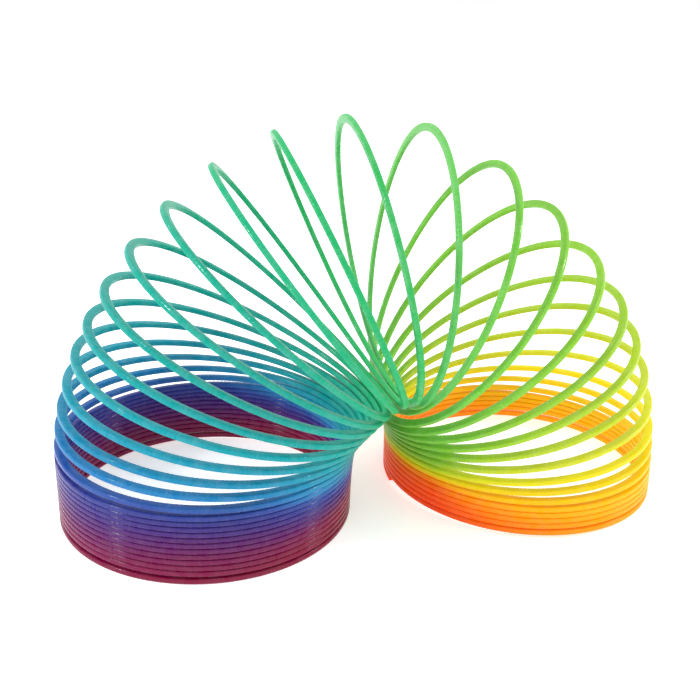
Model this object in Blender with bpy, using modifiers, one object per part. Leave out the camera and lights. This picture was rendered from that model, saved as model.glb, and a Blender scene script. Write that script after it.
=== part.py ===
"""Spring coil toy standing as an arch.

One plastic strand is wound forty turns.  Its two ends stand on the floor as
closed stacks, and the turns between them fan open over the top.  Every turn
is its own node, cut where the strand passes the inner side of the arch, and
the object's origin is the hinge point at that cut.

Frame: metres, +Z up, floor at z = 0, +X from the left foot to the right foot,
+Y to the back.  x = y = 0 is the middle of the toy's bounding box.
"""

import math

import bmesh
import bpy
import numpy as np

MM = 0.001

# ---- strand and winding ------------------------------------------------------
COIL_RADIUS = 36.4 * MM      # strand centre line
STRAND_WIDTH = 2.1 * MM      # radial
STRAND_THICK = 1.28 * MM     # along the winding axis
STRAND_CHAMFER = 0.36 * MM
PITCH = 1.555 * MM           # rise per turn in the closed stacks
CUT_GAP = 0.3 * MM           # gap left between neighbouring turns at a cut
STEPS_PER_TURN = 24

# ---- turns, numbered from the crown turn (0) ----------------------------------
LEFT_FOOT = -23
LEFT_STACK = (-22, -11)
LEFT_FAN = (-10, -1)
RIGHT_FAN = (1, 8)
RIGHT_STACK = (9, 15)
RIGHT_FOOT = 16

# ---- arch: lean of the winding axis from upright, degrees, at chosen turns ------
LEAN = (
    (-23, 0), (-12, 0), (-10, 3.9), (-8, 11), (-6.5, 18.2), (-5, 26.9), (-3.5, 38.4),
    (-2, 53), (-1, 64.8), (0, 77.6), (1, 95), (2, 113.6), (3, 127.5), (4, 140),
    (5, 149.9), (6, 157.4), (7.5, 167.1), (9, 174.4), (12, 179.8), (16, 180),
)

# ---- the opened turns at the crown draw in a little ------------------------------
CROWN_SHRINK = 0.041         # share of the coil radius
CROWN_SHRINK_AT = 1.8
CROWN_SHRINK_SPREAD = 4.6    # turns

# ---- how the turns pass one another on the inner side at the crown --------------
PINCH_TURN = 1.15            # middle of the pinch
PINCH_RISE_LOSS = 1.0        # share of the pitch lost there
PINCH_RISE_SPREAD = 0.97     # turns
PINCH_SLIP = 4.72 * MM       # inward slip per turn
PINCH_SLIP_SPREAD = 1.59     # turns
LEFT_FAN_SLIP = 0.66 * MM    # outward slip per turn half-way down the left fan
LEFT_FAN_SLIP_AT = -7.5
LEFT_FAN_SLIP_SPREAD = 3.0
SIDE_LEFT = 10.6 * MM        # the left fan stands this much nearer the front
SIDE_RIGHT = 2.3 * MM        # the right fan this much nearer the back
SIDE_AT = 1.28
SIDE_WIDTH = 1.12            # turns
SIDE_FADE = 11.2             # turns
SIDE_BASE = 0.4 * MM
LEFT_STACK_AT = (-7.5 * MM, 3.4 * MM)   # inner line of the left stack on the floor
YAW_MEAN = -0.5              # degrees, loops turned about their own radius
YAW_SWING = 0.2
YAW_AT = 4.0
YAW_LEFT_END, YAW_RIGHT_END, YAW_END_WIDTH = -13.0, 11.5, 1.0

# ---- dye, from the left foot to the right foot: turn, linear red, green, blue -----
DYE = (
    (-23, (0.50, 0.010, 0.075)), (-18, (0.16, 0.018, 0.22)), (-14, (0.035, 0.060, 0.42)),
    (-10, (0.012, 0.27, 0.52)), (-5, (0.012, 0.46, 0.36)), (0, (0.060, 0.46, 0.16)),
    (4, (0.19, 0.52, 0.040)), (8, (0.54, 0.60, 0.020)), (11, (0.86, 0.42, 0.010)),
    (16, (0.86, 0.10, 0.012)),
)

LEVEL_FROM = 9               # the right foot is brought level from this turn on
FIRST_CUT = LEFT_FOOT - 0.5
LAST_CUT = RIGHT_FOOT + 0.5
GRID = 96                    # integration steps per turn


def smooth(stations, at):
    """Monotone cubic curve through the stations."""
    x = np.array([s[0] for s in stations], float)
    y = np.array([s[1] for s in stations], float)
    h = np.diff(x)
    d = np.diff(y) / h
    m = np.zeros(len(x))
    for i in range(1, len(x) - 1):
        if d[i - 1] * d[i] > 0:
            a, b = 2 * h[i] + h[i - 1], h[i] + 2 * h[i - 1]
            m[i] = (a + b) / (a / d[i - 1] + b / d[i])
    m[0], m[-1] = d[0], d[-1]
    at = np.clip(at, x[0], x[-1])
    i = np.clip(np.searchsorted(x, at) - 1, 0, len(h) - 1)
    t = (at - x[i]) / h[i]
    return ((2 * t**3 - 3 * t**2 + 1) * y[i] + (t**3 - 2 * t**2 + t) * h[i] * m[i]
            + (3 * t**2 - 2 * t**3) * y[i + 1] + (t**3 - t**2) * h[i] * m[i + 1])


def bell(x, width):
    return np.exp(-(x / width) ** 2)


class Winding:
    """Centre line and section frame of the strand, by turn number."""

    def __init__(self):
        count = int(round((LAST_CUT - FIRST_CUT) * GRID))
        self.turn = FIRST_CUT + np.arange(count + 1) / GRID
        u = self.turn
        self.lean = np.radians(smooth(LEAN, u))
        axis, out = self.axes(self.lean)
        rise = PITCH * (1 - PINCH_RISE_LOSS * bell(u - PINCH_TURN, PINCH_RISE_SPREAD))
        slip = -PINCH_SLIP * bell(u - PINCH_TURN, PINCH_SLIP_SPREAD)
        slip -= LEFT_FAN_SLIP * bell(u - LEFT_FAN_SLIP_AT, LEFT_FAN_SLIP_SPREAD)
        step = axis * rise[:, None] + out * slip[:, None]
        inner = np.vstack([np.zeros(3), np.cumsum((step[1:] + step[:-1]) / 2, 0)]) / GRID
        swing = np.tanh((u - SIDE_AT) / SIDE_WIDTH)
        side = np.where(swing < 0, SIDE_LEFT, SIDE_RIGHT)
        inner[:, 1] += side * swing * bell(u - SIDE_AT, SIDE_FADE) + SIDE_BASE
        self.inner = inner + np.array([*LEFT_STACK_AT, 0.0])
        self.floor = 0.0
        left, right = self.frame(np.array([FIRST_CUT, LAST_CUT]))[0][:, 2]
        self.floor = left - STRAND_THICK / 2
        share = np.clip((u - LEVEL_FROM) / (RIGHT_FOOT - LEVEL_FROM), 0, 1)
        self.inner[:, 2] += (left - right) * share

    @staticmethod
    def axes(lean):
        """Winding axis and outward direction in the plane of the arch."""
        zero = np.zeros_like(lean)
        axis = np.stack([np.sin(lean), zero, np.cos(lean)], -1)
        out = np.stack([-np.cos(lean), zero, np.sin(lean)], -1)
        return axis, out

    def frame(self, at):
        """Centre, radial direction and axial direction of the section."""
        lean = np.interp(at, self.turn, self.lean)
        inner = np.stack([np.interp(at, self.turn, self.inner[:, i]) for i in range(3)], -1)
        axis, out = self.axes(lean)
        fade = 1 / (1 + np.exp(-(at - YAW_LEFT_END) / YAW_END_WIDTH))
        fade = fade / (1 + np.exp((at - YAW_RIGHT_END) / YAW_END_WIDTH))
        yaw = np.radians(YAW_MEAN + YAW_SWING * np.tanh((at - YAW_AT) / 4)) * fade
        back = np.array([0.0, 1.0, 0.0])
        across = np.cos(yaw)[:, None] * back + np.sin(yaw)[:, None] * axis
        normal = np.cos(yaw)[:, None] * axis - np.sin(yaw)[:, None] * back
        angle = 2 * math.pi * at
        radial = np.cos(angle)[:, None] * out + np.sin(angle)[:, None] * across
        draw_in = 1 - CROWN_SHRINK * bell(at - CROWN_SHRINK_AT, CROWN_SHRINK_SPREAD)
        centre = inner + (COIL_RADIUS * draw_in)[:, None] * (out + radial)
        rest = self.flatten(at - FIRST_CUT) - self.flatten(LAST_CUT - at)
        centre = centre - axis * (rest * PITCH)[:, None]
        centre[:, 2] -= self.floor
        return centre, radial, normal

    @staticmethod
    def flatten(along):
        """How far the end turn is pressed down onto the floor, in pitches."""
        return np.where(along < 0.5, along, np.clip(1 - along, 0, 1))


def flat_ring_turn(name):
    """One turn of the strand before it is bent: a screwed section with filled ends."""
    section = bpy.data.meshes.new(name)
    bm = bmesh.new()
    bmesh.ops.create_grid(bm, x_segments=1, y_segments=1, size=0.5)
    for v in bm.verts:
        v.co = (COIL_RADIUS + v.co.x * STRAND_WIDTH, 0.0, v.co.y * STRAND_THICK)
    bmesh.ops.bevel(bm, geom=bm.verts[:], offset=STRAND_CHAMFER, affect="VERTICES", segments=1)
    bmesh.ops.delete(bm, geom=bm.faces[:], context="FACES_ONLY")
    bm.to_mesh(section)
    bm.free()
    turn = bpy.data.objects.new(name, section)
    bpy.context.scene.collection.objects.link(turn)
    screw = turn.modifiers.new("wind", "SCREW")
    screw.axis = "Z"
    screw.angle = 2 * math.pi
    screw.screw_offset = COIL_RADIUS
    screw.steps = screw.render_steps = STEPS_PER_TURN
    screw.use_smooth_shade = False
    bpy.context.view_layer.objects.active = turn
    turn.select_set(True)
    bpy.ops.object.modifier_apply(modifier=screw.name)
    turn.select_set(False)
    bm = bmesh.new()
    bm.from_mesh(turn.data)
    bmesh.ops.holes_fill(bm, edges=[e for e in bm.edges if e.is_boundary])
    bm.to_mesh(turn.data)
    bm.free()
    return turn


def bend(turn, number, winding):
    """Carry the flat turn onto the arch and put its origin at the hinge point."""
    half_gap = CUT_GAP / (2 * 2 * math.pi * COIL_RADIUS)
    start, end = number - 0.5 + half_gap, number + 0.5 - half_gap
    co = np.array([v.co for v in turn.data.vertices])
    angle = np.arctan2(co[:, 1], co[:, 0]) / (2 * math.pi) % 1.0
    rough = co[:, 2] / COIL_RADIUS
    share = angle + np.round(rough - angle)
    share = np.clip(np.round(share * STEPS_PER_TURN) / STEPS_PER_TURN, 0, 1)
    across = np.hypot(co[:, 0], co[:, 1]) - COIL_RADIUS
    along = co[:, 2] - share * COIL_RADIUS
    centre, radial, normal = winding.frame(start + share * (end - start))
    hinge = winding.frame(np.array([number - 0.5]))[0][0]
    points = centre + radial * across[:, None] + normal * along[:, None] - hinge
    turn.data.vertices.foreach_set("co", points.ravel())
    turn.data.update()
    turn.location = hinge
    bm = bmesh.new()
    bm.from_mesh(turn.data)
    bmesh.ops.recalc_face_normals(bm, faces=bm.faces[:])
    bm.to_mesh(turn.data)
    bm.free()


def dye(number):
    """Colour of a turn."""
    at = np.array([float(number)])
    return [float(smooth([(turn, rgb[i]) for turn, rgb in DYE], at)[0]) for i in range(3)]


def plastic(name, colour):
    material = bpy.data.materials.new(name)
    material.use_nodes = True
    shader = material.node_tree.nodes["Principled BSDF"]
    shader.inputs["Base Color"].default_value = (*colour, 1.0)
    shader.inputs["Roughness"].default_value = 0.25
    material.diffuse_color = (*colour, 1.0)
    return material


def names():
    """Every turn's name, in order along the strand."""
    yield LEFT_FOOT, "left_foot_end_turn"
    for n, number in enumerate(range(LEFT_STACK[0], LEFT_STACK[1] + 1), 1):
        yield number, f"left_stack_turn_{n:02d}"
    for n, number in enumerate(range(LEFT_FAN[0], LEFT_FAN[1] + 1), 1):
        yield number, f"left_fan_turn_{n:02d}"
    yield 0, "crown_turn"
    for n, number in enumerate(range(RIGHT_FAN[0], RIGHT_FAN[1] + 1), 1):
        yield number, f"right_fan_turn_{n:02d}"
    for n, number in enumerate(range(RIGHT_STACK[0], RIGHT_STACK[1] + 1), 1):
        yield number, f"right_stack_turn_{n:02d}"
    yield RIGHT_FOOT, "right_foot_end_turn"


def main():
    for old in list(bpy.data.objects):
        bpy.data.objects.remove(old, do_unlink=True)
    toy = bpy.data.collections.new("spring_coil_toy")
    bpy.context.scene.collection.children.link(toy)
    winding = Winding()
    for number, name in names():
        turn = flat_ring_turn(name)
        bend(turn, number, winding)
        turn.data.materials.append(plastic(name + "_dye", dye(number)))
        bpy.context.scene.collection.objects.unlink(turn)
        toy.objects.link(turn)


main()
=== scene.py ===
"""Looks of the spring coil toy: dyed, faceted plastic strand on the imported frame.

The toy is one strand wound in round turns that arches from one closed stack to
another.  Every turn of the frame is replaced by a detailed turn that rides on
its own body, and the cuts between turns fall in the grooves between facets.
"""

from __future__ import annotations

import logging
import math
from dataclasses import dataclass, field
from enum import Enum

import bpy
import numpy as np
from mathutils import Matrix, Vector

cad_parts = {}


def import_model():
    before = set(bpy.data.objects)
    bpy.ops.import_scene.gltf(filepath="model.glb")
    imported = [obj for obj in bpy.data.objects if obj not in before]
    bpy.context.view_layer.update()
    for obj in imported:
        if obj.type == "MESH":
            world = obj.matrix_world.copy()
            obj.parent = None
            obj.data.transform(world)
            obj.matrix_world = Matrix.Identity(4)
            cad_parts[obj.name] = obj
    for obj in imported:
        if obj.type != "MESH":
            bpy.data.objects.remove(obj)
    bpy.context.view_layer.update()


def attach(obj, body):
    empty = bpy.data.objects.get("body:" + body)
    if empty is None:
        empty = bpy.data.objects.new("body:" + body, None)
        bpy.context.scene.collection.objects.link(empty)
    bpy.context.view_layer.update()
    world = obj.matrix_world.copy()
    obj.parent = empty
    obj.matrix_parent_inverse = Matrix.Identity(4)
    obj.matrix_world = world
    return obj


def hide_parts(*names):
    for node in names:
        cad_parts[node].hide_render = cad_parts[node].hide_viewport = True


LOG = logging.getLogger("spring_coil_toy")
MM = 0.001

Colour = tuple[float, float, float]
Station = tuple[float, float]


# ---- helpers -------------------------------------------------------------------


def deselect_all() -> None:
    """Leave object mode with nothing selected and nothing active."""
    if bpy.context.object is not None and bpy.context.object.mode != "OBJECT":
        bpy.ops.object.mode_set(mode="OBJECT")
    bpy.ops.object.select_all(action="DESELECT")
    bpy.context.view_layer.objects.active = None


def make_active(piece: bpy.types.Object) -> None:
    """Select one object alone and make it the active one."""
    deselect_all()
    piece.select_set(True)
    bpy.context.view_layer.objects.active = piece


def linear(hexa: str) -> Colour:
    """Turn a display colour into linear light.

    Args:
        hexa: Six hexadecimal digits, two for each of red, green and blue.

    Returns:
        Linear red, green and blue from 0 to 1.
    """
    parts = [int(hexa[i:i + 2], 16) / 255 for i in (0, 2, 4)]
    return tuple(c / 12.92 if c <= 0.04045 else ((c + 0.055) / 1.055) ** 2.4 for c in parts)


def bell(x: np.ndarray, width: float) -> np.ndarray:
    """Give 1 at zero, falling to nothing a few widths away."""
    return np.exp(-(x / width) ** 2)


def smooth_curve(stations: tuple[Station, ...], at: np.ndarray) -> np.ndarray:
    """Read a monotone cubic curve drawn through stations.

    Args:
        stations: Pairs of place and value, in rising order of place.
        at: Places to read.

    Returns:
        The curve's values at those places.
    """
    x, y = np.array(stations, float).T
    h = np.diff(x)
    d = np.diff(y) / h
    m = np.zeros(len(x))
    for i in range(1, len(x) - 1):
        if d[i - 1] * d[i] > 0:
            a, b = 2 * h[i] + h[i - 1], h[i] + 2 * h[i - 1]
            m[i] = (a + b) / (a / d[i - 1] + b / d[i])
    m[0], m[-1] = d[0], d[-1]
    at = np.clip(at, x[0], x[-1])
    i = np.clip(np.searchsorted(x, at) - 1, 0, len(h) - 1)
    t = (at - x[i]) / h[i]
    return ((2 * t**3 - 3 * t**2 + 1) * y[i] + (t**3 - 2 * t**2 + t) * h[i] * m[i]
            + (3 * t**2 - 2 * t**3) * y[i + 1] + (t**3 - t**2) * h[i] * m[i + 1])


# ---- the winding ---------------------------------------------------------------


@dataclass
class Winding:
    """Where the strand runs: its centre line and section frame by turn number."""

    radius: float = 36.4 * MM
    pitch: float = 1.555 * MM
    thick: float = 1.28 * MM
    first_cut: float = -23.5
    last_cut: float = 16.5
    lean_stations: tuple[Station, ...] = (
        (-23, 0), (-12, 0), (-10, 3.9), (-8, 11), (-6.5, 18.2), (-5, 26.9), (-3.5, 38.4),
        (-2, 53), (-1, 64.8), (0, 77.6), (1, 95), (2, 113.6), (3, 127.5), (4, 140),
        (5, 149.9), (6, 157.4), (7.5, 167.1), (9, 174.4), (12, 179.8), (16, 180),
    )
    shrink: float = 0.041
    shrink_at: float = 1.8
    shrink_spread: float = 4.6
    pinch_turn: float = 1.15
    rise_spread: float = 0.97
    slip: float = 4.72 * MM
    slip_spread: float = 1.59
    left_slip: float = 0.66 * MM
    left_slip_at: float = -7.5
    left_slip_spread: float = 3.0
    side_left: float = 10.6 * MM
    side_right: float = 2.3 * MM
    side_at: float = 1.28
    side_width: float = 1.12
    side_fade: float = 11.2
    side_base: float = 0.4 * MM
    left_stack_at: Station = (-7.5 * MM, 3.4 * MM)
    yaw_mean: float = -0.5
    yaw_swing: float = 0.2
    yaw_at: float = 4.0
    yaw_ends: Station = (-13.0, 11.5)
    yaw_end_width: float = 1.0
    level_from: float = 9.0
    level_to: float = 16.0
    grid: int = 96

    def __post_init__(self) -> None:
        """Sum the steps of the inner line from the left foot to the right foot."""
        count = int(round((self.last_cut - self.first_cut) * self.grid))
        self.turn = self.first_cut + np.arange(count + 1) / self.grid
        u = self.turn
        self.lean = np.radians(smooth_curve(self.lean_stations, u))
        axis, out = self.axes(self.lean)
        rise = self.pitch * (1 - bell(u - self.pinch_turn, self.rise_spread))
        slip = -self.slip * bell(u - self.pinch_turn, self.slip_spread)
        slip -= self.left_slip * bell(u - self.left_slip_at, self.left_slip_spread)
        step = axis * rise[:, None] + out * slip[:, None]
        inner = np.vstack([np.zeros(3), np.cumsum((step[1:] + step[:-1]) / 2, 0)]) / self.grid
        swing = np.tanh((u - self.side_at) / self.side_width)
        side = np.where(swing < 0, self.side_left, self.side_right)
        inner[:, 1] += side * swing * bell(u - self.side_at, self.side_fade) + self.side_base
        self.inner = inner + np.array([*self.left_stack_at, 0.0])
        self.floor = 0.0
        left, right = self.frame(np.array([self.first_cut, self.last_cut]))[0][:, 2]
        self.floor = left - self.thick / 2
        share = np.clip((u - self.level_from) / (self.level_to - self.level_from), 0, 1)
        self.inner[:, 2] += (left - right) * share

    @staticmethod
    def axes(lean: np.ndarray) -> tuple[np.ndarray, np.ndarray]:
        """Give the winding axis and the outward direction in the plane of the arch."""
        zero = np.zeros_like(lean)
        axis = np.stack([np.sin(lean), zero, np.cos(lean)], -1)
        out = np.stack([-np.cos(lean), zero, np.sin(lean)], -1)
        return axis, out

    @staticmethod
    def flatten(along: np.ndarray) -> np.ndarray:
        """Tell how far an end turn is pressed down onto the floor, in pitches."""
        return np.where(along < 0.5, along, np.clip(1 - along, 0, 1))

    def frame(self, at: np.ndarray) -> tuple[np.ndarray, np.ndarray, np.ndarray]:
        """Find the strand's place and directions.

        Args:
            at: Turn numbers along the strand.

        Returns:
            Centre points, radial directions and axial directions of the section.
        """
        lean = np.interp(at, self.turn, self.lean)
        inner = np.stack([np.interp(at, self.turn, self.inner[:, i]) for i in range(3)], -1)
        axis, out = self.axes(lean)
        fade = 1 / (1 + np.exp(-(at - self.yaw_ends[0]) / self.yaw_end_width))
        fade = fade / (1 + np.exp((at - self.yaw_ends[1]) / self.yaw_end_width))
        yaw = np.radians(self.yaw_mean + self.yaw_swing * np.tanh((at - self.yaw_at) / 4)) * fade
        back = np.array([0.0, 1.0, 0.0])
        across = np.cos(yaw)[:, None] * back + np.sin(yaw)[:, None] * axis
        normal = np.cos(yaw)[:, None] * axis - np.sin(yaw)[:, None] * back
        angle = 2 * math.pi * at
        radial = np.cos(angle)[:, None] * out + np.sin(angle)[:, None] * across
        draw_in = 1 - self.shrink * bell(at - self.shrink_at, self.shrink_spread)
        centre = inner + (self.radius * draw_in)[:, None] * (out + radial)
        rest = self.flatten(at - self.first_cut) - self.flatten(self.last_cut - at)
        centre = centre - axis * (rest * self.pitch)[:, None]
        centre[:, 2] -= self.floor
        return centre, radial, normal


# ---- the strand ----------------------------------------------------------------


@dataclass
class Strand:
    """The moulded strand: a rounded flat section with fine flats along its length."""

    winding: Winding
    width: float = 2.16 * MM
    thick: float = 1.38 * MM
    corner: float = 0.34 * MM
    corner_steps: int = 2
    facets: int = 204
    groove_depth: float = 0.05 * MM
    squeeze: float = 0.15
    squeeze_spread: float = 2.0
    groove_half: float = 0.12 * MM
    end_gap: float = 0.04 * MM
    edge_from: float = 0.45
    edge_fade: float = 0.2
    stations: int = field(init=False)

    def __post_init__(self) -> None:
        """Each flat takes a groove station and one station at each of its ends."""
        self.stations = self.facets * 3

    def level_turn(self) -> bpy.types.Object:
        """Wind one level turn that every turn of the toy is copied from.

        Returns:
            A closed tube, one turn long, whose height gives the way along it.
        """
        radius = self.winding.radius
        deselect_all()
        bpy.ops.mesh.primitive_plane_add(size=1.0, location=(radius, 0, 0),
                                         rotation=(math.pi / 2, 0, 0))
        turn = bpy.context.active_object
        turn.name = "level_turn"
        turn.scale = (self.width, self.thick, 1.0)
        bpy.ops.object.transform_apply(location=True, rotation=True, scale=True)
        bpy.ops.object.mode_set(mode="EDIT")
        bpy.ops.mesh.select_all(action="SELECT")
        bpy.ops.mesh.bevel(offset=self.corner, segments=self.corner_steps, affect="VERTICES")
        bpy.ops.mesh.select_all(action="SELECT")
        bpy.ops.mesh.delete(type="ONLY_FACE")
        bpy.ops.object.mode_set(mode="OBJECT")
        screw = turn.modifiers.new("wind", "SCREW")
        screw.axis = "Z"
        screw.angle = 2 * math.pi
        screw.screw_offset = radius
        screw.steps = screw.render_steps = self.stations
        bpy.ops.object.modifier_apply(modifier=screw.name)
        bpy.ops.object.mode_set(mode="EDIT")
        bpy.ops.mesh.select_all(action="SELECT")
        bpy.ops.mesh.fill_holes(sides=0)
        bpy.ops.object.mode_set(mode="OBJECT")
        return turn

    def locate(self, mesh: bpy.types.Mesh) -> tuple[np.ndarray, np.ndarray, np.ndarray]:
        """Read where each vertex of the level turn stands.

        Args:
            mesh: The level turn's mesh.

        Returns:
            Station number, offset across the section and offset along the axis.
        """
        co = np.empty(len(mesh.vertices) * 3)
        mesh.vertices.foreach_get("co", co)
        co = co.reshape(-1, 3)
        radius = self.winding.radius
        angle = np.arctan2(co[:, 1], co[:, 0]) / (2 * math.pi) % 1.0
        share = angle + np.round(co[:, 2] / radius - angle)
        station = np.clip(np.round(share * self.stations), 0, self.stations).astype(int)
        across = np.hypot(co[:, 0], co[:, 1]) - radius
        along = co[:, 2] - station / self.stations * radius
        return station, across, along

    def carry(self, turn: bpy.types.Object, number: int) -> None:
        """Carry a copy of the level turn onto its own turn of the arch.

        Args:
            turn: The copy, with its own mesh.
            number: The turn's number, counted from the crown.
        """
        mesh = turn.data
        station, across, along = self.locate(mesh)
        length = 2 * math.pi * self.winding.radius
        kind = station % 3
        shift = np.where(kind == 1, self.groove_half - length / self.stations, 0.0)
        shift = shift + np.where(kind == 2, length / self.stations - self.groove_half, 0.0)
        share = station / self.stations + shift / length
        half_gap = self.end_gap / (2 * length)
        at = number - 0.5 + half_gap + share * (1 - 2 * half_gap)
        depth = np.where(kind == 0, self.groove_depth, 0.0)
        # How near each vertex lies to the section's rim; this masks the painted sheen on the
        # corners.
        lean_in = np.hypot(across / self.width, along / self.thick)
        edge = np.clip((lean_in - self.edge_from) / self.edge_fade, 0, 1)
        across = across - np.sign(across) * np.minimum(depth, np.abs(across))
        along = along - np.sign(along) * np.minimum(depth, np.abs(along))
        centre, radial, normal = self.winding.frame(at)
        pressed = self.squeeze * bell(at - self.winding.pinch_turn, self.squeeze_spread)
        across = across * (1 - pressed / 2)
        along = along * (1 - pressed)
        points = centre + radial * across[:, None] + normal * along[:, None]
        mesh.vertices.foreach_set("co", points.ravel())
        # The 'groove' attribute masks the painted shade in the grooves between flats.
        for name, values in (("way", at), ("groove", (kind == 0) * 1.0), ("edge", edge)):
            layer = mesh.attributes.new(name, "FLOAT", "POINT")
            layer.data.foreach_set("value", values.astype(np.float32))
        ends = np.empty(len(mesh.edges) * 2, int)
        mesh.edges.foreach_get("vertices", ends)
        ends = station[ends.reshape(-1, 2)]
        sharp = mesh.attributes.new("sharp_edge", "BOOLEAN", "EDGE")
        sharp.data.foreach_set("value", ends[:, 0] == ends[:, 1])
        mesh.update()
        make_active(turn)
        bpy.ops.object.mode_set(mode="EDIT")
        bpy.ops.mesh.select_all(action="SELECT")
        bpy.ops.mesh.normals_make_consistent(inside=False)
        bpy.ops.object.mode_set(mode="OBJECT")
        mesh.polygons.foreach_set("use_smooth", np.ones(len(mesh.polygons), bool))


# ---- shader node groups --------------------------------------------------------


class SocketKind(Enum):
    """Socket types that the node groups use."""

    VALUE = "NodeSocketFloat"
    COLOUR = "NodeSocketColor"
    VECTOR = "NodeSocketVector"


def new_group(name: str, takes: dict[str, tuple[SocketKind, object]],
              gives: dict[str, SocketKind],
              ) -> tuple[bpy.types.NodeTree, bpy.types.Node, bpy.types.Node]:
    """Start a shader node group.

    Args:
        name: The group's name.
        takes: Inputs, with their kind and default value.
        gives: Outputs, with their kind.

    Returns:
        The tree, its input node and its output node.
    """
    tree = bpy.data.node_groups.new(name, "ShaderNodeTree")
    for key, (kind, default) in takes.items():
        socket = tree.interface.new_socket(key, in_out="INPUT", socket_type=kind.value)
        if default is not None:
            socket.default_value = default
    for key, kind in gives.items():
        tree.interface.new_socket(key, in_out="OUTPUT", socket_type=kind.value)
    return tree, tree.nodes.new("NodeGroupInput"), tree.nodes.new("NodeGroupOutput")


def maths(tree: bpy.types.NodeTree, what: str, first: object, second: object = None,
          third: object = None) -> bpy.types.NodeSocket:
    """Add a Math node.

    Args:
        tree: The tree to add it to.
        what: The operation.
        first: A socket or a number.
        second: A socket or a number.
        third: A socket or a number.

    Returns:
        The node's output.
    """
    node = tree.nodes.new("ShaderNodeMath")
    node.operation = what
    for socket, value in zip(node.inputs, (first, second, third)):
        if isinstance(value, bpy.types.NodeSocket):
            tree.links.new(value, socket)
        elif value is not None:
            socket.default_value = value
    return node.outputs[0]


def mix_colour(tree: bpy.types.NodeTree, share: object, low: object, high: object,
               blend: str = "MIX") -> bpy.types.NodeSocket:
    """Add a colour Mix node.

    Args:
        tree: The tree to add it to.
        share: Socket or number, how much of the second colour.
        low: Socket or colour.
        high: Socket or colour.
        blend: The blend type.

    Returns:
        The mixed colour.
    """
    node = tree.nodes.new("ShaderNodeMix")
    node.data_type = "RGBA"
    node.blend_type = blend
    for index, value in ((0, share), (6, low), (7, high)):
        if isinstance(value, bpy.types.NodeSocket):
            tree.links.new(value, node.inputs[index])
        elif isinstance(value, tuple):
            node.inputs[index].default_value = (*value, 1.0)
        else:
            node.inputs[index].default_value = value
    return node.outputs[2]


def attribute(tree: bpy.types.NodeTree, name: str) -> bpy.types.NodeSocket:
    """Add an Attribute node and give its value."""
    node = tree.nodes.new("ShaderNodeAttribute")
    node.attribute_name = name
    return node.outputs["Fac"]


def noise(tree: bpy.types.NodeTree, where: bpy.types.NodeSocket, scale: float,
          detail: float) -> bpy.types.NodeSocket:
    """Add a Noise Texture and give its value."""
    node = tree.nodes.new("ShaderNodeTexNoise")
    node.inputs["Scale"].default_value = scale
    node.inputs["Detail"].default_value = detail
    tree.links.new(where, node.inputs["Vector"])
    return node.outputs["Fac"]


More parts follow.
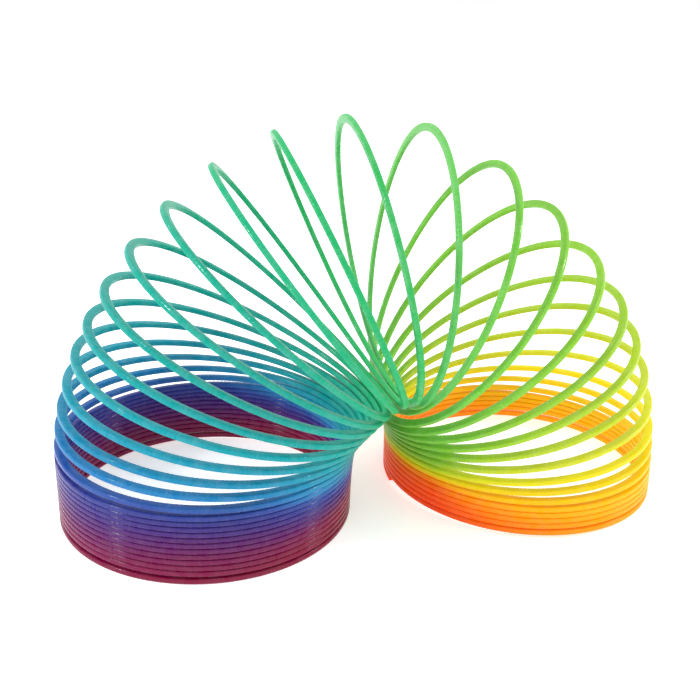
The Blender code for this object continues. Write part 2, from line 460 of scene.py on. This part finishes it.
@dataclass(frozen=True)
class RadialDye:
    """Rainbow dye that changes with the angle about a line low between the feet.

    The angle is 0 level to the left, 90 straight up and 180 level to the right.
    """

    pivot_x: float = 8.0 * MM
    pivot_z: float = 11.0 * MM
    least_reach: float = 4.0 * MM
    free_height: float = 24.0 * MM
    far_left: Station = (-35.0 * MM, -75.0 * MM)
    far_stretch: float = 5.5
    far_soft: float = 12.0
    first: float = -90.0
    last: float = 270.0
    bands: tuple[tuple[float, str], ...] = (
        (-90, "550719"), (-20, "740029"), (-12, "760030"), (-6, "69003f"), (-2, "540354"),
        (2, "3d1265"), (6, "292273"), (10, "1f3c88"), (14, "126a9f"), (19, "0a7e9f"),
        (26, "078895"), (36, "078e86"), (48, "0d937d"), (62, "129b63"), (76, "2fa252"),
        (90, "57a74d"), (105, "69b138"), (122, "74b030"), (138, "85b429"), (150, "9bb824"),
        (160, "afbc1f"), (168, "c0bf16"), (175, "ceb807"), (182, "d4a503"), (187, "db9803"),
        (192, "de8603"), (200, "df7407"), (214, "df5b0d"), (236, "e24812"), (270, "da3819"),
    )

    def group(self) -> bpy.types.NodeTree:
        """Build the node group that turns a place into the dye's colour."""
        tree, inlet, outlet = new_group(
            "radial_dye",
            {"Place": (SocketKind.VECTOR, None), "Shift": (SocketKind.VALUE, 0.0)},
            {"Colour": SocketKind.COLOUR},
        )
        split = tree.nodes.new("ShaderNodeSeparateXYZ")
        tree.links.new(inlet.outputs["Place"], split.inputs[0])
        leg = maths(tree, "SIGN", maths(tree, "SUBTRACT", 0.5, attribute(tree, "way")))
        reach = maths(tree, "MULTIPLY", leg, maths(tree, "SUBTRACT", self.pivot_x,
                                                   split.outputs["X"]))
        kept = maths(tree, "MULTIPLY", leg, maths(tree, "MAXIMUM", reach, self.least_reach))
        up = maths(tree, "SUBTRACT", split.outputs["Z"], self.pivot_z)
        high = maths(tree, "GREATER_THAN", up, self.free_height)
        left = maths(tree, "MULTIPLY", high, maths(tree, "SUBTRACT", self.pivot_x,
                                                   split.outputs["X"]))
        left = maths(tree, "MULTIPLY_ADD", maths(tree, "SUBTRACT", 1.0, high), kept, left)
        angle = maths(tree, "DEGREES", maths(tree, "ARCTAN2", up, left))
        below = maths(tree, "LESS_THAN", angle, self.first)
        turned = maths(tree, "MULTIPLY_ADD", below, 360.0, angle)
        far = tree.nodes.new("ShaderNodeMapRange")
        far.inputs["From Min"].default_value, far.inputs["From Max"].default_value = self.far_left
        tree.links.new(split.outputs["X"], far.inputs["Value"])
        bend = maths(tree, "TANH", maths(tree, "DIVIDE", turned, self.far_soft))
        bend = maths(tree, "MULTIPLY", bend, far.outputs["Result"])
        turned = maths(tree, "MULTIPLY_ADD", bend, self.far_stretch, turned)
        shifted = maths(tree, "ADD", turned, inlet.outputs["Shift"])
        share = maths(tree, "DIVIDE", maths(tree, "SUBTRACT", shifted, self.first),
                      self.last - self.first)
        ramp = tree.nodes.new("ShaderNodeValToRGB")
        ramp.color_ramp.interpolation = "LINEAR"
        stops = ramp.color_ramp.elements
        for index, (degrees, hexa) in enumerate(self.bands):
            place = (degrees - self.first) / (self.last - self.first)
            if index < 2:
                stop = stops[index]
                stop.position = place
            else:
                stop = stops.new(place)
            stop.color = (*linear(hexa), 1.0)
        tree.links.new(share, ramp.inputs[0])
        tree.links.new(ramp.outputs["Color"], outlet.inputs["Colour"])
        return tree


class StrandGroups:
    """Node groups shared by every material of the strand."""

    TURN_SCALE = 1.7
    CLOUD_SCALE = 55.0
    TONE_BY_TURN = 0.25
    TONE_ALONG = 0.12
    RUB_SHEEN_SCALE = 420.0
    RUB_SHEEN_FROM = 0.38
    RUB_SHEEN_GAIN = 3.2
    FINE_SCALE = 2600.0
    BROAD_SCALE = 240.0
    BROAD_SHARE = 0.6
    FINE_SHARE = 0.4
    RUBBED_ROUGH = 0.15

    def __init__(self, dye: RadialDye) -> None:
        """Build each group once."""
        self.dye = dye.group()
        self.drift = self._drift()
        self.rub_sheen_shade = self._rub_sheen_shade()
        self.grain = self._grain()

    @staticmethod
    def _drift() -> bpy.types.NodeTree:
        """Small changes of the dye from turn to turn and along each turn."""
        tree, inlet, outlet = new_group(
            "dye_drift",
            {"Place": (SocketKind.VECTOR, None), "By turn": (SocketKind.VALUE, 2.0),
             "Along": (SocketKind.VALUE, 2.0)},
            {"Shift": SocketKind.VALUE, "Tone": SocketKind.VALUE},
        )
        way = attribute(tree, "way")
        steps = tree.nodes.new("ShaderNodeTexNoise")
        steps.noise_dimensions = "1D"
        steps.inputs["Scale"].default_value = StrandGroups.TURN_SCALE
        steps.inputs["Detail"].default_value = 1.0
        tree.links.new(way, steps.inputs["W"])
        by_turn = maths(tree, "SUBTRACT", steps.outputs["Fac"], 0.5)
        cloud = noise(tree, inlet.outputs["Place"], StrandGroups.CLOUD_SCALE, 2.0)
        along = maths(tree, "SUBTRACT", cloud, 0.5)
        total = maths(tree, "MULTIPLY", by_turn, inlet.outputs["By turn"])
        total = maths(tree, "MULTIPLY_ADD", along, inlet.outputs["Along"], total)
        tree.links.new(total, outlet.inputs["Shift"])
        tone = maths(tree, "MULTIPLY_ADD", by_turn, StrandGroups.TONE_BY_TURN, 1.0)
        tone = maths(tree, "MULTIPLY_ADD", along, StrandGroups.TONE_ALONG, tone)
        tree.links.new(tone, outlet.inputs["Tone"])
        return tree

    @staticmethod
    def _rub_sheen_shade() -> bpy.types.NodeTree:
        """Painted sheen on the corners in rubbed patches, painted shade in the grooves between
        flats.
        """
        tree, inlet, outlet = new_group(
            "rubbed_corner_sheen_and_groove_shade",
            {"Colour": (SocketKind.COLOUR, None), "Place": (SocketKind.VECTOR, None),
             "Pale": (SocketKind.VALUE, 0.15), "Groove shade": (SocketKind.VALUE, 0.2)},
            {"Colour": SocketKind.COLOUR, "Rub and sheen": SocketKind.VALUE},
        )
        patch = noise(tree, inlet.outputs["Place"], StrandGroups.RUB_SHEEN_SCALE, 3.0)
        patch = maths(tree, "SUBTRACT", patch, StrandGroups.RUB_SHEEN_FROM)
        patch = maths(tree, "MULTIPLY", patch, StrandGroups.RUB_SHEEN_GAIN)
        node = tree.nodes.new("ShaderNodeClamp")
        tree.links.new(patch, node.inputs[0])
        rub_and_sheen = maths(tree, "MULTIPLY", node.outputs[0], attribute(tree, "edge"))
        # Painted sheen: the colour is mixed towards white where the rubbed patches meet the
        # corners.
        share = maths(tree, "MULTIPLY", rub_and_sheen, inlet.outputs["Pale"])
        pale = mix_colour(tree, share, inlet.outputs["Colour"], (1.0, 1.0, 1.0))
        # Painted shade: the grooves take the colour multiplied by itself, which darkens them.
        groove = maths(tree, "MULTIPLY", attribute(tree, "groove"), inlet.outputs["Groove shade"])
        groove_shade = mix_colour(tree, groove, pale, inlet.outputs["Colour"], "MULTIPLY")
        tree.links.new(groove_shade, outlet.inputs["Colour"])
        tree.links.new(rub_and_sheen, outlet.inputs["Rub and sheen"])
        return tree

    @staticmethod
    def _grain() -> bpy.types.NodeTree:
        """Fine flow marks left by moulding, for height and gloss."""
        tree, inlet, outlet = new_group(
            "moulding_grain",
            {"Place": (SocketKind.VECTOR, None), "Gloss": (SocketKind.VALUE, 0.25),
             "Swing": (SocketKind.VALUE, 0.1), "Rub and sheen": (SocketKind.VALUE, 0.0)},
            {"Roughness": SocketKind.VALUE, "Height": SocketKind.VALUE},
        )
        fine = noise(tree, inlet.outputs["Place"], StrandGroups.FINE_SCALE, 2.0)
        broad = noise(tree, inlet.outputs["Place"], StrandGroups.BROAD_SCALE, 3.0)
        height = maths(tree, "MULTIPLY", fine, StrandGroups.FINE_SHARE)
        height = maths(tree, "MULTIPLY_ADD", broad, StrandGroups.BROAD_SHARE, height)
        tree.links.new(height, outlet.inputs["Height"])
        swing = maths(tree, "MULTIPLY", maths(tree, "SUBTRACT", broad, 0.5),
                      inlet.outputs["Swing"])
        rough = maths(tree, "ADD", inlet.outputs["Gloss"], swing)
        rough = maths(tree, "MULTIPLY_ADD", inlet.outputs["Rub and sheen"],
                      StrandGroups.RUBBED_ROUGH, rough)
        tree.links.new(rough, outlet.inputs["Roughness"])
        return tree


@dataclass(frozen=True)
class StrandFinish:
    """Finish of the strand in one stretch of the toy."""

    name: str
    rough: float = 0.30
    swing: float = 0.12
    # Painted sheen on the corners, as a share of white.
    pale: float = 0.04
    # Painted shade in the grooves between flats.
    groove_shade: float = 0.16
    by_turn: float = 2.0
    along: float = 2.5
    bump: float = 0.10
    translucency: float = 0.25
    coat: float = 0.25
    # Emission of the dye colour: a painted glow that lifts the shaded lines between turns.
    painted_glow: float = 0.12
    specular: float = 0.03
    coat_rough: float = 0.14
    index: float = 1.49
    bump_height: float = 0.02 * MM
    light_reach: float = 1.0 * MM

    def material(self, groups: StrandGroups) -> bpy.types.Material:
        """Build the dyed plastic.

        Args:
            groups: The shared node groups.

        Returns:
            A material with its colour, gloss and height from those groups.
        """
        made = bpy.data.materials.new(self.name)
        made.use_nodes = True
        tree = made.node_tree
        shader = tree.nodes["Principled BSDF"]
        place = tree.nodes.new("ShaderNodeTexCoord").outputs["Object"]
        drift = self._place(tree, groups.drift, {"Place": place, "By turn": self.by_turn,
                                                 "Along": self.along})
        dye = self._place(tree, groups.dye, {"Place": place, "Shift": drift.outputs["Shift"]})
        rub_sheen_shade = self._place(tree, groups.rub_sheen_shade, {"Colour": dye.outputs["Colour"], "Place": place,
                                             "Pale": self.pale, "Groove shade": self.groove_shade})
        grain = self._place(tree, groups.grain, {"Place": place, "Gloss": self.rough,
                                                 "Swing": self.swing,
                                                 "Rub and sheen": rub_sheen_shade.outputs["Rub and sheen"]})
        tone = tree.nodes.new("ShaderNodeHueSaturation")
        tree.links.new(rub_sheen_shade.outputs["Colour"], tone.inputs["Color"])
        tree.links.new(drift.outputs["Tone"], tone.inputs["Value"])
        tree.links.new(tone.outputs["Color"], shader.inputs["Base Color"])
        # Painted glow: the dye colour is also emitted, lifting the shade between turns.
        tree.links.new(tone.outputs["Color"], shader.inputs["Emission Color"])
        shader.inputs["Emission Strength"].default_value = self.painted_glow
        tree.links.new(grain.outputs["Roughness"], shader.inputs["Roughness"])
        bump = tree.nodes.new("ShaderNodeBump")
        bump.inputs["Strength"].default_value = self.bump
        bump.inputs["Distance"].default_value = self.bump_height
        tree.links.new(grain.outputs["Height"], bump.inputs["Height"])
        tree.links.new(bump.outputs["Normal"], shader.inputs["Normal"])
        shader.inputs["Subsurface Weight"].default_value = self.translucency
        shader.inputs["Subsurface Radius"].default_value = (1.0, 1.0, 1.0)
        shader.inputs["Subsurface Scale"].default_value = self.light_reach
        shader.inputs["Coat Weight"].default_value = self.coat
        shader.inputs["Coat Roughness"].default_value = self.coat_rough
        shader.inputs["IOR"].default_value = self.index
        shader.inputs["Specular IOR Level"].default_value = self.specular
        return made

    @staticmethod
    def _place(tree: bpy.types.NodeTree, group: bpy.types.NodeTree,
               values: dict[str, object]) -> bpy.types.Node:
        """Put a group in a material and set or link its inputs."""
        node = tree.nodes.new("ShaderNodeGroup")
        node.node_tree = group
        for key, value in values.items():
            if isinstance(value, bpy.types.NodeSocket):
                tree.links.new(value, node.inputs[key])
            else:
                node.inputs[key].default_value = value
        return node


# ---- the toy's stretches -------------------------------------------------------


class Stretch(Enum):
    """The stretches of the strand, from the left foot to the right foot."""

    LEFT_STACK = "left_stack"
    LEFT_FAN = "left_fan"
    CROWN = "crown"
    RIGHT_FAN = "right_fan"
    RIGHT_STACK = "right_stack"


@dataclass
class TurnRun:
    """A run of neighbouring turns with one finish."""

    strand: Strand
    stretch: Stretch
    first: int
    last: int
    finish: StrandFinish

    def nodes(self) -> dict[int, str]:
        """Name the frame's node for each turn number of the run."""
        stem = self.stretch.value
        return {number: f"{stem}_turn_{order:02d}"
                for order, number in enumerate(range(self.first, self.last + 1), 1)}

    def build(self, level: bpy.types.Object, groups: StrandGroups) -> list[bpy.types.Object]:
        """Copy, carry and dress every turn of the run.

        Args:
            level: The level turn to copy.
            groups: The shared node groups.

        Returns:
            The finished turns.
        """
        plastic = self.finish.material(groups)
        made = []
        for number, node in self.nodes().items():
            turn = level.copy()
            turn.data = level.data.copy()
            turn.name = turn.data.name = node.replace("_turn", "_strand")
            bpy.context.scene.collection.objects.link(turn)
            self.strand.carry(turn, number)
            turn.data.materials.append(plastic)
            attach(turn, node)
            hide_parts(node)
            LOG.info("%s: %d faces on %s", turn.name, len(turn.data.polygons), node)
            made.append(turn)
        return made


@dataclass
class LeftStack(TurnRun):
    """The closed stack under the left end, with the foot turn lowest."""

    def nodes(self) -> dict[int, str]:
        """Put the foot turn before the stack turns."""
        rest = {number: f"left_stack_turn_{order:02d}"
                for order, number in enumerate(range(self.first + 1, self.last + 1), 1)}
        return {self.first: "left_foot_end_turn", **rest}


@dataclass
class Crown(TurnRun):
    """The single turn that stands highest."""

    def nodes(self) -> dict[int, str]:
        """Name the crown's only node."""
        return {self.first: "crown_turn"}


@dataclass
class RightStack(TurnRun):
    """The closed stack under the right end, with the foot turn lowest."""

    def nodes(self) -> dict[int, str]:
        """Put the foot turn after the stack turns."""
        rest = {number: f"right_stack_turn_{order:02d}"
                for order, number in enumerate(range(self.first, self.last), 1)}
        return {**rest, self.last: "right_foot_end_turn"}


@dataclass
class SpringCoilToy:
    """The whole toy: five runs of one strand."""

    strand: Strand
    # Each finish sets how much painted sheen its corners get, painted shade its grooves and
    # painted glow its dye colour.
    left_finish: StrandFinish = StrandFinish("left_stacked_strand_plastic", rough=0.26, pale=0.02,
                                             groove_shade=0.05, coat=0.45, painted_glow=0.13)
    right_finish: StrandFinish = StrandFinish("right_stacked_strand_plastic", pale=0.02, groove_shade=0.04,
                                              coat=0.2, painted_glow=0.26, translucency=0.4)
    fan_finish: StrandFinish = StrandFinish("fanned_strand_plastic", pale=0.05)
    crown_finish: StrandFinish = StrandFinish("crown_strand_plastic", pale=0.09)

    def build(self) -> list[bpy.types.Object]:
        """Build the runs in order along the strand.

        Returns:
            Every turn's object.
        """
        groups = StrandGroups(RadialDye())
        level = self.strand.level_turn()
        runs = (
            LeftStack(self.strand, Stretch.LEFT_STACK, -23, -11, self.left_finish),
            TurnRun(self.strand, Stretch.LEFT_FAN, -10, -1, self.fan_finish),
            Crown(self.strand, Stretch.CROWN, 0, 0, self.crown_finish),
            TurnRun(self.strand, Stretch.RIGHT_FAN, 1, 8, self.fan_finish),
            RightStack(self.strand, Stretch.RIGHT_STACK, 9, 16, self.right_finish),
        )
        made = [turn for run in runs for turn in run.build(level, groups)]
        bpy.data.objects.remove(level, do_unlink=True)
        return made


# ---- studio --------------------------------------------------------------------


@dataclass(frozen=True)
class Softbox:
    """A square soft light aimed at a point."""

    name: str
    place: tuple[float, float, float]
    aim: tuple[float, float, float]
    size: float
    power: float

    def build(self) -> None:
        """Add the light and turn it to its aim."""
        light = bpy.data.lights.new(self.name, "AREA")
        light.shape = "SQUARE"
        light.size = self.size
        light.energy = self.power
        lamp = bpy.data.objects.new(self.name, light)
        lamp.location = self.place
        way = Vector(self.aim) - Vector(self.place)
        lamp.rotation_euler = way.to_track_quat("-Z", "Y").to_euler()
        bpy.context.scene.collection.objects.link(lamp)


@dataclass
class Studio:
    """Pale floor, soft light and the camera."""

    azimuth: float = 16.18
    elevation: float = 21.36
    roll: float = 2.19
    distance: float = 245.2 * MM
    target: tuple[float, float, float] = (-6.1 * MM, 3.0 * MM, 40.3 * MM)
    lens: float = 48.82
    shift: Station = (-0.0029, 0.0002)
    floor_size: float = 12.0
    floor_drop: float = 0.1 * MM
    floor_glow: float = 0.48
    sky: float = 1.0
    boxes: tuple[Softbox, ...] = (
        Softbox("left_box", (-0.72, -0.12, 0.50), (-0.05, 0, 0.02), 0.09, 3.2),
        Softbox("top_box", (0.05, 0.10, 0.75), (0, 0, 0.03), 0.50, 0.5),
        Softbox("right_box", (0.72, -0.10, 0.50), (-0.03, 0, 0.02), 0.09, 2.6),
    )

    def floor(self) -> None:
        """Lay a pale matt floor with the faintest unevenness."""
        deselect_all()
        bpy.ops.mesh.primitive_plane_add(size=self.floor_size, location=(0, 0, 0))
        ground = bpy.context.active_object
        ground.name = "studio_floor"
        ground.location.z = -self.floor_drop
        bpy.ops.object.transform_apply(location=True, rotation=True, scale=True)
        paper = bpy.data.materials.new("pale_paper")
        paper.use_nodes = True
        tree = paper.node_tree
        shader = tree.nodes["Principled BSDF"]
        place = tree.nodes.new("ShaderNodeTexCoord").outputs["Object"]
        tone = mix_colour(tree, noise(tree, place, 3.0, 2.0), (0.93, 0.93, 0.93),
                          (0.95, 0.95, 0.95))
        tree.links.new(tone, shader.inputs["Base Color"])
        shader.inputs["Roughness"].default_value = 0.9
        shader.inputs["Specular IOR Level"].default_value = 0.1
        shader.inputs["Emission Color"].default_value = (1, 1, 1, 1)
        shader.inputs["Emission Strength"].default_value = self.floor_glow
        ground.data.materials.append(paper)

    def light(self) -> None:
        """Light the floor and the toy evenly from all round, with soft boxes above."""
        world = bpy.data.worlds.new("studio")
        world.use_nodes = True
        world.node_tree.nodes["Background"].inputs["Color"].default_value = (1, 1, 1, 1)
        world.node_tree.nodes["Background"].inputs["Strength"].default_value = self.sky
        bpy.context.scene.world = world
        bpy.context.scene.view_settings.view_transform = "Standard"
        for box in self.boxes:
            box.build()

    def camera(self) -> None:
        """Place the camera by its azimuth, elevation, roll and distance."""
        y, e, r = (math.radians(a) for a in (self.azimuth, self.elevation, self.roll))
        ahead = Vector((math.sin(y) * math.cos(e), math.cos(y) * math.cos(e), -math.sin(e)))
        right = Vector((math.cos(y), -math.sin(y), 0))
        up = right.cross(ahead)
        right, up = (math.cos(r) * right + math.sin(r) * up,
                     -math.sin(r) * right + math.cos(r) * up)
        turn = Matrix((right, up, -ahead)).transposed().to_4x4()
        data = bpy.data.cameras.new("camera")
        data.lens = self.lens
        data.sensor_width = 36.0
        data.shift_x, data.shift_y = self.shift
        data.clip_start = 0.01
        eye = bpy.data.objects.new("camera", data)
        eye.matrix_world = Matrix.Translation(Vector(self.target) - ahead * self.distance) @ turn
        bpy.context.scene.collection.objects.link(eye)
        bpy.context.scene.camera = eye

    def build(self) -> None:
        """Set up the floor, the light and the camera."""
        self.floor()
        self.light()
        self.camera()
        LOG.info("studio ready")


def main() -> None:
    """Load the frame, build the toy over it and set the studio."""
    logging.basicConfig(level=logging.INFO, format="%(name)s: %(message)s")
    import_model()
    turns = SpringCoilToy(Strand(Winding())).build()
    LOG.info("%d turns", len(turns))
    Studio().build()


if __name__ == "__main__":
    main()
